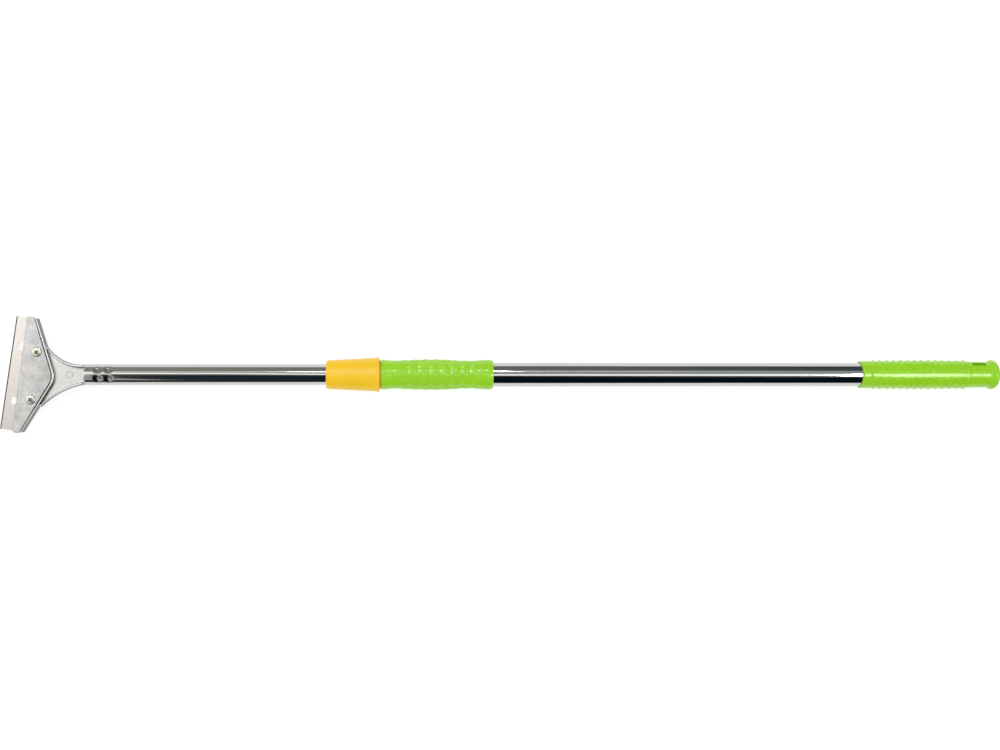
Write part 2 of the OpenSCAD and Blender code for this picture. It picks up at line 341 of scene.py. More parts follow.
def shade(tree, base, amount, pattern):
    """Base colour lightened and darkened by a pattern around its middle value."""
    factor = add(tree, "ShaderNodeMapRange", {"Value": pattern, "From Min": 0.34, "From Max": 0.66})
    low = [c * (1 - amount) for c in base[:3]] + [1.0]
    high = [min(1.0, c * (1 + amount)) for c in base[:3]] + [1.0]
    return add(tree, "ShaderNodeMix", {"Factor": factor, 6: low, 7: high}, data_type="RGBA").outputs[2]


def cast_aluminium(name, base, grain_mm, depth_mm, roughness, mottle, painted_highlight_gain):
    """Die-cast aluminium, tumbled: a fine pebbled skin that breaks up reflections, with cloudy
    grey patches where the melt cooled unevenly. Painted shade darkens the steep flanks, and a
    painted highlight lightens all that stands high over the blade seat. The grain is drawn about twice its
    real size."""
    material, tree, shader, coords = new_material(name)
    cloud = add(tree, "ShaderNodeTexNoise", {"Vector": coords, "Scale": 1 / (9 * MM), "Detail": 4.0})
    grain = add(tree, "ShaderNodeTexNoise", {"Vector": coords, "Scale": 1 / (grain_mm * MM), "Detail": 3.0})
    speck = add(tree, "ShaderNodeMix", {"Factor": 0.55, 2: cloud, 3: grain})
    rough = add(tree, "ShaderNodeMapRange", {
        "Value": grain, "From Min": 0.3, "From Max": 0.7,
        "To Min": roughness - 0.06, "To Max": roughness + 0.08})
    bump = add(tree, "ShaderNodeBump", {"Height": grain, "Strength": 0.6, "Distance": depth_mm * MM})
    # Painted shade: the colour darkens as the surface turns from facing up to steep, down to 0.14 on the
    # walls.
    facing = add(tree, "ShaderNodeTexCoord").outputs["Normal"]
    upward = add(tree, "ShaderNodeSeparateXYZ", {"Vector": facing}).outputs["Z"]
    skin = add(tree, "ShaderNodeMapRange", {
        "Value": upward, "From Min": 0.2, "From Max": 0.9, "To Min": 0.14, "To Max": 1.0})
    height = add(tree, "ShaderNodeSeparateXYZ", {"Vector": coords}).outputs["Z"]
    # Painted highlight: the colour is raised by the gain on all that stands above 2.8 mm over the blade seat,
    # the rim and rib tops.
    painted_top_highlight = add(tree, "ShaderNodeMapRange", {
        "Value": height, "From Min": AXIS_Z + 2.0 * MM, "From Max": AXIS_Z + 2.8 * MM,
        "To Min": 1.0, "To Max": painted_highlight_gain})
    light = add(tree, "ShaderNodeMath", {0: skin, 1: painted_top_highlight}, operation="MULTIPLY")
    tone = add(tree, "ShaderNodeVectorMath", {
        0: shade(tree, base, mottle, speck), "Scale": light}, operation="SCALE")
    feed(tree, shader, {"Base Color": tone, "Roughness": rough,
                        "Normal": bump, "Metallic": 1.0})
    return material


def ground_steel(name, base):
    """Blade steel, ground across its width: fine straight lines from edge to back that stretch the
    reflections, and a faint warm cast from the protective oil."""
    material, tree, shader, coords = new_material(name)
    turned_in = add(tree, "ShaderNodeMapping", {
        "Vector": coords, "Rotation": (0, 0, HEAD_SKEW), "Scale": (40, 1 / (0.5 * MM), 40)})
    lines = add(tree, "ShaderNodeTexNoise", {"Vector": turned_in, "Scale": 1.0, "Detail": 3.0})
    stain = add(tree, "ShaderNodeTexNoise", {"Vector": coords, "Scale": 1 / (18 * MM), "Detail": 2.0})
    mixed = add(tree, "ShaderNodeMix", {"Factor": 0.85, 2: lines, 3: stain})
    rough = add(tree, "ShaderNodeMapRange", {
        "Value": lines, "From Min": 0.3, "From Max": 0.7, "To Min": 0.24, "To Max": 0.27})
    bump = add(tree, "ShaderNodeBump", {"Height": lines, "Strength": 0.03, "Distance": 0.003 * MM})
    feed(tree, shader, {"Base Color": shade(tree, base, 0.02, mixed), "Roughness": rough,
                        "Normal": bump, "Metallic": 1.0})
    return material


def chrome_plate(name, base):
    """Bright chrome on drawn steel tube: mirror-like, with hairline scuffs that run along the tube
    and the long shallow waves of the drawing, which bend the reflected bands a little."""
    material, tree, shader, coords = new_material(name)
    along, around = 1 / (60 * MM), 1 / (0.7 * MM)
    drawn = add(tree, "ShaderNodeMapping", {"Vector": coords, "Scale": (along, around, around)})
    hair = add(tree, "ShaderNodeTexNoise", {"Vector": drawn, "Scale": 1.0, "Detail": 4.0})
    wave = add(tree, "ShaderNodeTexNoise", {"Vector": coords, "Scale": 1 / (45 * MM), "Detail": 2.0})
    rough = add(tree, "ShaderNodeMapRange", {
        "Value": hair, "From Min": 0.45, "From Max": 0.75, "To Min": 0.05, "To Max": 0.14})
    swell = add(tree, "ShaderNodeBump", {"Height": wave, "Strength": 0.35, "Distance": 0.25 * MM})
    bump = add(tree, "ShaderNodeBump", {
        "Height": hair, "Strength": 0.12, "Distance": 0.01 * MM, "Normal": swell})
    feed(tree, shader, {"Base Color": shade(tree, base, 0.015, wave), "Roughness": rough,
                        "Normal": bump, "Metallic": 1.0})
    return material


def zinc_plate(name, base):
    """Pale yellow zinc plate on screws: a soft metal sheen with cloudy passivation, and painted
    shade down in the recess and around the foot of the head."""
    material, tree, shader, coords = new_material(name)
    cloud = add(tree, "ShaderNodeTexNoise", {"Vector": coords, "Scale": 1 / (1.6 * MM), "Detail": 3.0})
    bump = add(tree, "ShaderNodeBump", {"Height": cloud, "Strength": 0.2, "Distance": 0.03 * MM})
    # Painted shade: below 3.7 mm over the seat, in the cross recess and at the foot of the head, the colour
    # drops nearly to black.
    height = add(tree, "ShaderNodeSeparateXYZ", {"Vector": coords}).outputs["Z"]
    painted_recess_shade = add(tree, "ShaderNodeMapRange", {
        "Value": height, "From Min": AXIS_Z + 3.7 * MM, "From Max": AXIS_Z + 4.2 * MM,
        "To Min": 0.06, "To Max": 1.0})
    tone = add(tree, "ShaderNodeVectorMath", {
        0: shade(tree, base, 0.08, cloud), "Scale": painted_recess_shade}, operation="SCALE")
    feed(tree, shader, {"Base Color": tone, "Roughness": 0.3,
                        "Normal": bump, "Metallic": 1.0})
    return material


def moulded_plastic(name, base, roughness, texture_mm, amount=0.02):
    """Injection-moulded plastic from a lightly textured mould: an even colour with slow flow
    clouds, and a fine skin that softens the highlights. IOR is that of polypropylene and ABS."""
    material, tree, shader, coords = new_material(name)
    flow = add(tree, "ShaderNodeTexNoise", {"Vector": coords, "Scale": 1 / (22 * MM), "Detail": 2.0})
    skin = add(tree, "ShaderNodeTexNoise", {"Vector": coords, "Scale": 1 / (texture_mm * MM), "Detail": 2.0})
    rough = add(tree, "ShaderNodeMapRange", {
        "Value": skin, "From Min": 0.3, "From Max": 0.7,
        "To Min": roughness - 0.05, "To Max": roughness + 0.07})
    bump = add(tree, "ShaderNodeBump", {"Height": skin, "Strength": 0.15, "Distance": 0.02 * MM})
    feed(tree, shader, {"Base Color": shade(tree, base, amount, flow), "Roughness": rough,
                        "Normal": bump, "IOR": 1.5})
    return material


# ---- the head

HOLDER_FRONT, HOLDER_HALF = -10.9 * MM, 51.2 * MM
PLATE_FRONT, PLATE_HALF = -12.5 * MM, 52.05 * MM
BOW_ANGLE = math.radians(23.7)
BOW_ROUND = 16 * MM
BOW_APEX = 16.65 * MM


def bow_line(along, grow):
    """How far back the bow-shaped edge lies: two straight slopes that meet in a round apex, moved
    outwards by grow. Straight part: apex - |along| tan(angle); round part: a circle."""
    size = BOW_ROUND + grow
    apex = BOW_APEX + grow / math.cos(BOW_ANGLE)
    centre = apex - size / math.cos(BOW_ANGLE)
    arc = centre + np.sqrt(np.maximum(size ** 2 - along ** 2, 0))
    line = apex - np.abs(along) * math.tan(BOW_ANGLE)
    return np.where(np.abs(along) < size * math.sin(BOW_ANGLE), arc, line)


def head_stations(half, edge):
    """Places along the blade, closer together at the ends, where an edge is rounded."""
    turn = np.linspace(0, math.pi / 2, 6)
    end = half - edge + edge * np.sin(turn)
    middle = np.linspace(-(half - edge), half - edge, 121)[1:-1]
    return np.concatenate([-end[::-1], middle, end])


def holder_base(head, front, half):
    """Base and rim: a closed section swept along the blade. Its front side keeps one distance from
    the screws, and its back side follows the bow, so each section point is an offset from one of
    the two. A narrow groove runs under the gap, and the rim thins evenly towards its ends. Near the
    ends the section shrinks as a quarter circle."""
    far = 1.0
    low, top, floor = -head.base, head.rim_top, 0.0
    rim = far + head.gap
    rim_back = rim + head.rim_width
    section = rounded([
        (0, low, 0.6 * MM), (0, floor, 0.5 * MM), (far - 0.9 * MM, floor, 0),
        (far + head.gap / 2, -2.4 * MM, 0), (rim - 0.1 * MM, 0.8 * MM, 0),
        (rim, top, 0.25 * MM), (rim_back, top, 0.3 * MM), (rim_back + 0.3 * MM, low, 0.6 * MM)])
    edge, thinning = 0.6 * MM, 0.45 * MM
    along = head_stations(half, edge)[:, None]
    offset, height = section[:, 0][None, :], section[:, 1][None, :]
    slim = np.clip((offset - far - head.gap) / head.rim_width, 0, 1) * thinning * np.abs(along) / half
    back = np.where(offset < far / 2, front + offset, bow_line(along, offset - far - slim))
    inset = edge - np.sqrt(np.maximum(edge ** 2 - np.maximum(np.abs(along) - half + edge, 0) ** 2, 0))
    mid_back = (back.min(1, keepdims=True) + back.max(1, keepdims=True)) / 2
    half_back = (back.max(1, keepdims=True) - back.min(1, keepdims=True)) / 2
    back = mid_back + (back - mid_back) * (1 - inset / half_back)
    mid_height, half_height = (low + top) / 2, (top - low) / 2
    height = mid_height + (height - mid_height) * (1 - inset / half_height)
    return in_head(np.broadcast_to(along, back.shape), back, height)


FLANK_UP = (-3.24 * MM, 45.67 * MM, 36.74 * MM)
FLANK_DOWN = (9.58 * MM, -75.27 * MM, 66.91 * MM)


def holder_neck(head):
    """Neck: a ribbed section carried from the rim to the pole joint. The flanks are circle arcs,
    y = centre -/+ sqrt(R^2 - (x - cx)^2). The ribs deepen towards the joint, their feet lean in by
    following the arc further along, and near the joint every point stays inside the tube."""
    x = np.concatenate([np.linspace(-40.5, -6, 46), np.linspace(-5.4, 0, 14)]) * MM
    rise = smoothstep((x + 30 * MM) / (26 * MM))
    rib_top = 2.9 * MM + 3.4 * MM * rise
    rib_low = -head.base + 0.9 * MM - 5.5 * MM * rise
    web_low = -2.8 * MM

    def flanks(at):
        at = np.clip(at, -38.5 * MM, 0)
        return (FLANK_UP[1] - np.sqrt(FLANK_UP[2] ** 2 - (at - FLANK_UP[0]) ** 2),
                FLANK_DOWN[1] + np.sqrt(FLANK_DOWN[2] ** 2 - (at - FLANK_DOWN[0]) ** 2))

    lean, rows = 0.31, []
    rib, draft, flat, top_width = head.rib, 0.85 * MM, 1.9 * MM, 1.3 * MM
    for y_up, y_down, foot_up, foot_down, top, low in zip(
            *flanks(x + lean * MM), *flanks(x - lean * rib_low), rib_top, rib_low):
        rows.append(rounded([
            (foot_up, low, 0.9 * MM), (y_up - draft, top, 0.25 * MM),
            (y_up - draft - top_width, top, 0.25 * MM), (y_up - rib - draft, head.web, 0.2 * MM),
            (y_up - rib - flat, head.web, 0), (y_down + rib + flat, head.web, 0),
            (y_down + rib + draft, head.web, 0.2 * MM), (y_down + draft + top_width, top, 0.25 * MM),
            (y_down + draft, top, 0.25 * MM), (foot_down, low, 0.9 * MM),
            (y_down + rib, low, 0.6 * MM), (y_down + rib + 0.3 * MM, web_low, 0.5 * MM),
            (y_up - rib - 0.3 * MM, web_low, 0.5 * MM), (y_up - rib, low, 0.6 * MM)], 4))
    section = np.array(rows)
    reach = np.hypot(section[..., 0], section[..., 1])
    room = (INNER_R - 0.35 * MM) + 60 * MM * smoothstep(-x / (30 * MM))[:, None]
    section = section * np.minimum(1, room / np.maximum(reach, MM))[..., None]
    return np.stack([np.broadcast_to((JOINT_X + x)[:, None], reach.shape),
                     section[..., 0], AXIS_Z + section[..., 1]], -1)


CRIMP_TURNS = (-25, 25, 155, 205)
CRIMP_PLACES = (11.5, 20.8)
CRIMP_LONG, CRIMP_WIDE = 3.2 * MM, 2.7 * MM


def crimps(depth):
    """Relief of the crimps: round dents in pairs across the top and the bottom. Each is flat inside
    and steep at its rim: a falling exponential of the fourth power of the distance from its middle."""
    def relief(x, r, a):
        total = 0
        for across in CRIMP_TURNS:
            away = (a - math.radians(across) + math.pi) % (2 * math.pi) - math.pi
            for place in CRIMP_PLACES:
                apart = ((x - JOINT_X - place * MM) / CRIMP_LONG) ** 2 + (INNER_R * away / CRIMP_WIDE) ** 2
                total = total + np.exp(-apart ** 2)
        return -depth * total
    return relief


def plate_surface(head, front, half):
    """Clamp plate: height = front height, rising evenly to the crease and level behind it, less the
    edge rounding r - sqrt(r^2 - (r - d)^2) at a distance d from the nearest edge. In plan the
    front and back edges turn in at the ends as quarter circles."""
    corner, edge = 2.0 * MM, 0.4 * MM
    along = head_stations(half, corner)[:, None]
    over = np.maximum(np.abs(along) - half + corner, 0)
    pull = corner - np.sqrt(np.maximum(corner ** 2 - over ** 2, 0))
    first = front + pull
    last = bow_line(along, 0) - pull * 0.8
    near = edge * (1 - np.cos(np.linspace(0, math.pi / 2, 7)))
    wide = last - first
    t = np.concatenate([near[None, :] + 0 * wide,
                        edge + (wide - 2 * edge) * np.linspace(0, 1, 26)[1:-1][None, :],
                        wide - near[::-1][None, :]], axis=1)
    back = first + t
    crease, soft = 4.0 * MM, 0.9 * MM
    slope = (head.plate_top - head.plate_front) / (crease - front)
    ahead = crease - back
    bent = np.where(np.abs(ahead) < soft, (ahead + soft) ** 2 / (4 * soft), np.maximum(ahead, 0))
    height = head.plate_top - slope * bent
    away = np.minimum(np.minimum(t, wide - t), half - np.abs(along) + 0 * t)
    away = np.clip(away, 0, edge)
    height = height - (edge - np.sqrt(edge ** 2 - (edge - away) ** 2))
    under = 0.85 * MM
    back_loop = np.concatenate([back, back[:, ::-1]], axis=1)
    height_loop = np.concatenate([height, np.full_like(height, under)], axis=1)
    return in_head(np.broadcast_to(along, back_loop.shape), back_loop, height_loop)


def screw_surface(centre):
    """Pan-head screw turned about its own axis. The cross recess lowers the head by its depth
    inside two crossed bars whose edges are smooth steps."""
    low, seat = AXIS_Z - 3.0 * MM, AXIS_Z + 2.95 * MM
    head_r, edge = 4.2 * MM, 0.5 * MM
    turn = np.radians(np.linspace(0, 78, 7))
    flat_r = head_r - edge * (1 - np.cos(turn[-1]))
    flat_z = seat + (0.85 + 0.5 * np.sin(turn[-1])) * MM
    top = np.linspace(0.99, 0.01, 40)
    shank_r = 2.5 * MM
    radii = np.concatenate([[shank_r, shank_r, head_r - 0.1 * MM, head_r],
                            head_r - edge * (1 - np.cos(turn)), flat_r * top])
    z = np.concatenate([[low, seat, seat, seat + 0.1 * MM], seat + 0.85 * MM + edge * np.sin(turn),
                        flat_z + 0.35 * MM * (1 - top ** 2)])

    def recess(x, y, height, r):
        turn = math.radians(38)
        u = x * math.cos(turn) + y * math.sin(turn)
        v = -x * math.sin(turn) + y * math.cos(turn)
        reach, wide, soft, deep = 2.2 * MM, 0.5 * MM, 0.12 * MM, 1.1 * MM
        bars = 0
        for p, q in ((u, v), (v, u)):
            bar = smoothstep((reach - np.abs(p)) / soft) * smoothstep((wide - np.abs(q)) / soft)
            bars = np.maximum(bars, bar)
        return -deep * bars * (height > seat + 1.2 * MM)

    return upright(np.stack([z, radii], 1), 120, centre, recess)


class SCRAPER_OT_holder(bpy.types.Operator):
    """Makes the cast holder: base with its rim, ribbed neck, spigot and ejector mark"""
    bl_idname = "scraper.holder"
    bl_label = "Blade holder"

    def execute(self, context):
        head = context.scene.scraper_head
        pole = context.scene.scraper_pole
        # The last value, 1.28, is the gain of the painted highlight on the holder's high tops.
        metal = cast_aluminium("die_cast_aluminium", head.casting, 0.55, 0.04, 0.3, 0.06, 1.28)
        piece = make_piece("holder_casting", [shell(holder_base(head, HOLDER_FRONT, HOLDER_HALF))],
                           "pole", ["blade_holder"], metal)
        combine(piece, make_tool("neck", shell(holder_neck(head)), metal), "UNION")
        root, tip, hollow_r = JOINT_X - 1.0 * MM, JOINT_X + 34 * MM, 5 * MM
        spigot_r = INNER_R - pole.wall - 0.05 * MM
        outline = closer(rounded([(root, hollow_r, 0), (root, spigot_r, 0.2 * MM),
                                  (tip, spigot_r, 0.6 * MM), (tip, hollow_r, 0)]), 0.8 * MM)
        dents = kept_to(crimps(pole.crimp), lambda r: r > 6 * MM)
        combine(piece, make_tool("spigot", shell(turned(outline, 96, dents), loop=True), metal), "UNION")
        ring_r, spread_r, web = 2.9 * MM, 3 * 0.22 * MM, AXIS_Z + head.web
        outline = np.array([[web - 0.3 * MM, ring_r], [web + MM, ring_r - spread_r],
                            [web + MM, ring_r + spread_r]])
        middle = (JOINT_X - 15.25 * MM, -0.3 * MM)
        combine(piece, make_tool("mark", shell(upright(outline, 64, middle), loop=True), metal), "DIFFERENCE")
        return {"FINISHED"}


class SCRAPER_OT_plate(bpy.types.Operator):
    """Makes the clamp plate, with a flat seat sunk in it under each screw head"""
    bl_idname = "scraper.plate"
    bl_label = "Clamp plate"

    def execute(self, context):
        head = context.scene.scraper_head
        metal = cast_aluminium("sand_textured_casting", head.plate, 1.3, 0.08, 0.4, 0.3, 1.0)
        piece = make_piece("clamp_plate_casting", [shell(plate_surface(head, PLATE_FRONT, PLATE_HALF))],
                           "pole", ["clamp_plate"], metal, sharp=30)
        for place in SCREWS:
            outline = np.array([[AXIS_Z + 2.9 * MM, 4.55 * MM], [AXIS_Z + 8 * MM, 4.7 * MM]])
            combine(piece, make_tool("seat", shell(upright(outline, 64, place)), metal), "DIFFERENCE")
        return {"FINISHED"}


class SCRAPER_OT_blade(bpy.types.Operator):
    """Gives the blade its ground steel"""
    bl_idname = "scraper.blade"
    bl_label = "Blade"

    def execute(self, context):
        steel = ground_steel("ground_blade_steel", context.scene.scraper_head.blade)
        finish_nodes(["scraper_blade"], steel)
        return {"FINISHED"}


def finish_nodes(names, material):
    """Puts a finish on CAD nodes that keep their own shape."""
    for name in names:
        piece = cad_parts[name]
        piece.data.materials.clear()
        piece.data.materials.append(material)


class SCRAPER_OT_screws(bpy.types.Operator):
    """Makes the two clamp screws with their cross recesses"""
    bl_idname = "scraper.screws"
    bl_label = "Clamp screws"

    def execute(self, context):
        metal = zinc_plate("yellow_zinc_plate", context.scene.scraper_head.screw)
        for name, place in zip(("screw_b", "screw_a"), SCREWS):
            make_piece(name, [shell(screw_surface(place), caps="fan")],
                       "pole", ["clamp_" + name], metal)
        return {"FINISHED"}


# ---- the poles

def tube_outline(first, last, outside, wall):
    """Closed outline of a tube wall with its ends eased."""
    inside = outside - wall
    return rounded([(first, inside, 0.1 * MM), (first, outside, 0.2 * MM),
                    (last, outside, 0.2 * MM), (last, inside, 0.1 * MM)])


class SCRAPER_OT_poles(bpy.types.Operator):
    """Makes the two chromed tubes; the inner one carries the crimps"""
    bl_idname = "scraper.poles"
    bl_label = "Tubes"

    def execute(self, context):
        pole = context.scene.scraper_pole
        chrome = chrome_plate("bright_chrome_plate", pole.chrome)
        first, last = span("inner_tube")
        outline = tube_outline(first, last, INNER_R, pole.wall)
        near = closer(outline, 0.6 * MM)
        near = near[(near[:, 0] < first + 32 * MM) | np.isin(near[:, 0], outline[:, 0])]
        make_piece("inner_pole", [shell(turned(near, 160, crimps(pole.crimp)), loop=True)],
                   "pole", ["inner_tube"], chrome)
        first, last = span("outer_tube")
        outline = closer(tube_outline(first, last, OUTER_R, pole.wall), 20 * MM)
        make_piece("outer_pole", [shell(turned(outline, 192), loop=True)],
                   "handle", ["outer_tube"], chrome)
        return {"FINISHED"}


# ---- the twist lock

THREAD_START = 27 * MM
THREAD_TURNS = 3
THREAD_THROW = 0.5 * MM


def thread(first, last, pitch):
    """Relief of a right-hand round thread: throw cos(a + 2 pi x / pitch) between two places."""
    def relief(x, r, a):
        run = smoothstep((x - first) / (0.6 * MM)) * smoothstep((last - x) / (0.6 * MM))
        return THREAD_THROW * run * np.cos(a + 2 * math.pi * (x - first) / pitch)
    return relief


class SCRAPER_OT_lock(bpy.types.Operator):
    """Makes the lock nut and the threaded sleeve, and finishes the hidden rings"""
    bl_idname = "scraper.lock"
    bl_label = "Twist lock"

    def execute(self, context):
        lock = context.scene.scraper_lock
        first, last = span("lock_nut")
        lip = radius("lock_nut") - 0.01 * MM
        start = first + THREAD_START
        stop = start + THREAD_TURNS * lock.pitch
        bore = INNER_R + 0.4 * MM
        mean = INNER_R + 3.25 * MM
        outline = rounded([
            (first, bore, 0.3 * MM), (first, 12.98 * MM, 2.7 * MM), (last - 3.0 * MM, 15.33 * MM, 2.5 * MM),
            (last - 1.7 * MM, lip, 0.7 * MM), (last, lip, 0.5 * MM), (last, 13.85 * MM, 0.5 * MM),
            (stop + 0.4 * MM, 13.85 * MM, 0.3 * MM), (stop + 0.3 * MM, mean, 0.2 * MM),
            (start, mean, 0.2 * MM), (start - 0.1 * MM, 12.2 * MM, 0.2 * MM),
            (first + 12 * MM, 12.2 * MM, 0.2 * MM), (first + 12 * MM, 11.4 * MM, 0.2 * MM),
            (first + 2.5 * MM, 11.4 * MM, 0.3 * MM), (first + 2.5 * MM, bore, 0.3 * MM)], 7)
        inside = kept_to(thread(start, stop, lock.pitch), lambda r: r < mean + 0.1 * MM)
        yellow = moulded_plastic("moulded_yellow_abs", lock.nut, 0.34, 0.5)
        make_piece("lock_nut_moulding", [shell(turned(closer(outline, 0.4 * MM), 160, inside), loop=True)],
                   "nut", ["lock_nut"], yellow)

        first, last = span("lock_sleeve")
        shoulder = span("front_grip")[0]
        bore = INNER_R + 0.3 * MM
        seat = first + 8 * MM
        sleeve_mean = INNER_R + 2.95 * MM
        tube_in = OUTER_R - 0.65 * MM
        outline = rounded([
            (first, INNER_R + 1.5 * MM, 0.1 * MM), (first, 11.9 * MM, 0.3 * MM),
            (start - 0.2 * MM, 11.9 * MM, 0.2 * MM),
            (start - 0.1 * MM, sleeve_mean, 0.2 * MM), (stop + 1.6 * MM, sleeve_mean, 0.2 * MM),
            (stop + 1.7 * MM, 12.95 * MM, 0.2 * MM), (shoulder - 0.2 * MM, 12.95 * MM, 0.4 * MM),
            (shoulder - 0.2 * MM, OUTER_R, 0), (shoulder + 1.3 * MM, OUTER_R, 0),
            (shoulder + 1.3 * MM, tube_in, 0),
            (last, tube_in, 0.2 * MM), (last, bore, 0), (seat, bore, 0.3 * MM)], 4)
        outside = kept_to(thread(start, stop + 1.5 * MM, lock.pitch),
                          lambda r: np.abs(r - sleeve_mean) < 0.2 * MM)
        nylon = moulded_plastic("moulded_yellow_nylon", lock.sleeve, 0.4, 0.5)
        make_piece("lock_sleeve_moulding", [shell(turned(closer(outline, 0.4 * MM), 120, outside), loop=True)],
                   "handle", ["lock_sleeve"], nylon)
        finish_nodes(["collet_ring", "guide_bush"],
                     moulded_plastic("natural_nylon", lock.nylon, 0.42, 0.6, 0.03))
        return {"FINISHED"}


# ---- the grips

GRIP_LINE = np.array([
    [0.6, 13.3], [1.6, 13.62], [5, 13.42], [9, 13], [13, 12.87], [17, 12.96], [21, 13.32], [27, 13.72],
    [35, 13.97], [43, 14.2], [49, 14.2], [55, 14.08], [61, 13.86], [66, 13.62], [71, 13.3], [77, 13.08],
    [83, 13.04], [87.5, 13.1], [92, 13.43], [95, 13.68], [97.6, 13.77]]) * MM


def smooth_line(knots, x):
    """Curve through knots (x, r): a cubic between each two, whose slope at a knot is that of the
    line from the knot before it to the one after it."""
    slope = np.gradient(knots[:, 1], knots[:, 0])
    i = np.clip(np.searchsorted(knots[:, 0], x) - 1, 0, len(knots) - 2)
    step = knots[i + 1, 0] - knots[i, 0]
    t = (x - knots[i, 0]) / step
    return ((1 + 2 * t) * (1 - t) ** 2 * knots[i, 1] + t ** 2 * (3 - 2 * t) * knots[i + 1, 1]
            + step * t * (1 - t) * ((1 - t) * slope[i] - t * slope[i + 1]))


GRIP_AIR = 0.05 * MM
ROW_STEP = 2 * math.pi / 10
ROW_TURN = math.radians(18)


def off_row(a):
    """Angle from the nearest of the ten rows that run along a grip."""
    return (a - ROW_TURN + ROW_STEP / 2) % ROW_STEP - ROW_STEP / 2


def dimples(first, depth):
    """Relief of the dimples: seven rings of ten, on rows that line up. A dimple is a bowl whose
    depth falls as a smooth step of the squared distance from its middle."""
    start, pitch, rings = first + 26.3 * MM, 9.33 * MM, 7
    long, wide = 4.4 * MM, 4.3 * MM

    def relief(x, r, a):
        ring = np.clip(np.round((x - start) / pitch), 0, rings - 1)
        d2 = ((x - start - ring * pitch) / long) ** 2 + (r * off_row(a) / wide) ** 2
        return -depth * smoothstep(1.1 * (1 - d2))

    return relief


def bumps(first, height):
    """Relief of the bumps: fourteen rings of ten small domes, height cos^2 of the distance from
    each centre, on rows that all line up."""
    start, pitch, rings, bump_r = first + 13.6 * MM, 6.78 * MM, 14, 1.75 * MM

    def relief(x, r, a):
        ring = np.clip(np.round((x - start) / pitch), 0, rings - 1)
        d = np.hypot(x - start - ring * pitch, r * off_row(a)) / bump_r
        return height * np.cos(np.clip(d, 0, 1) * math.pi / 2) ** 2

    return relief


class SCRAPER_OT_front_grip(bpy.types.Operator):
    """Makes the dimpled front grip"""
    bl_idname = "scraper.front_grip"
    bl_label = "Front grip"

    def execute(self, context):
        grip = context.scene.scraper_grip
        first, last = span("front_grip")
        bore = OUTER_R + GRIP_AIR
        x = np.linspace(GRIP_LINE[0, 0], GRIP_LINE[-1, 0], 230)
        outer = np.stack([first + x, smooth_line(GRIP_LINE, x)], 1)
        end = np.linspace(0, math.pi / 2, 9)[1:]
        reach = last - outer[-1, 0]
        tip = outer[-1] + np.stack([reach * np.sin(end), -1.4 * MM * (1 - np.cos(end))], 1)
        start = np.array([[first, outer[0, 1] - 0.6 * MM], [first + 0.15 * MM, outer[0, 1] - 0.2 * MM]])
        outline = np.vstack([start, outer, tip, [[last, bore], [first, bore]]])
        green = moulded_plastic("moulded_green_polypropylene", grip.green, 0.2, 0.55)
        relief = kept_to(dimples(first, grip.dimple), lambda r: r > bore + 1 * MM)
        make_piece("front_grip_moulding", [shell(turned(outline, 224, relief), loop=True)],
                   "handle", ["front_grip"], green)
        return {"FINISHED"}


class SCRAPER_OT_rear_grip(bpy.types.Operator):
    """Makes the rear grip sleeve with its rows of bumps, and the hanger cap behind it"""
    bl_idname = "scraper.rear_grip"
    bl_label = "Rear grip"

    def execute(self, context):
        grip = context.scene.scraper_grip
        green = bpy.data.materials["moulded_green_polypropylene"]
        first, last = span("rear_grip")
        bore = OUTER_R + GRIP_AIR
        x = np.linspace(first + 1.8 * MM, last - 0.6 * MM, 300)
        t = (x - first) / (last - first)
        r = (12.76 + 0.33 * np.sin(np.pi * np.clip((t - 0.1) / 0.95, 0, 1)) ** 1.2) * MM
        groove = 0.4 * MM * np.exp(-((x - first - 8.2 * MM) / (0.55 * MM)) ** 2)
        outer = np.stack([x, r - groove], 1)
        turn = np.linspace(0, 0.9, 5) * math.pi / 2
        start = np.stack([first + 1.8 * MM * (1 - np.cos(turn)), r[0] - 1.1 * MM * (1 - np.sin(turn))], 1)
        start = np.vstack([[[first, bore + 0.2 * MM]], start])
        end = np.array([[last - 0.2 * MM, r[-1] - 0.2 * MM], [last, r[-1] - 0.6 * MM], [last, bore]])
        outline = np.vstack([start, outer, end, [[first + 0.2 * MM, bore]]])
        relief = kept_to(bumps(first, grip.bump), lambda r: r > bore + 1 * MM)
        make_piece("rear_grip_moulding", [shell(turned(outline, 280, relief), loop=True)],
                   "handle", ["rear_grip"], green)

        first, last = span("hanger_cap")
        flange = radius("hanger_cap")
        arc = np.radians(np.linspace(-80, 82, 15))
        ring = np.stack([last - 5.0 * MM + np.where(arc < 0, 2.8 * MM, 3.3 * MM) * np.sin(arc),
                         flange - 3.3 * MM + np.where(arc < 0, 1.9 * MM, 3.3 * MM) * np.cos(arc)
                         + np.where(arc < 0, 1.4 * MM, 0)], 1)
        body = np.array([[first, 11.95 * MM], [first + 0.3 * MM, 12.35 * MM],
                         [last - 16 * MM, 12.2 * MM], [last - 8.4 * MM, 12.05 * MM]])
        dome = np.linspace(1, 0.02, 12)
        face = np.stack([last - 1.65 * MM * dome ** 2, (flange - 3.4 * MM) * dome], 1)
        outline = np.vstack([body, ring, face])
        cap = make_piece("hanger_cap_moulding", [shell(turned(outline, 160), caps="fan")],
                         "handle", ["hanger_cap"], green)
        combine(cap, slot_cutter(first), "DIFFERENCE")
        return {"FINISHED"}


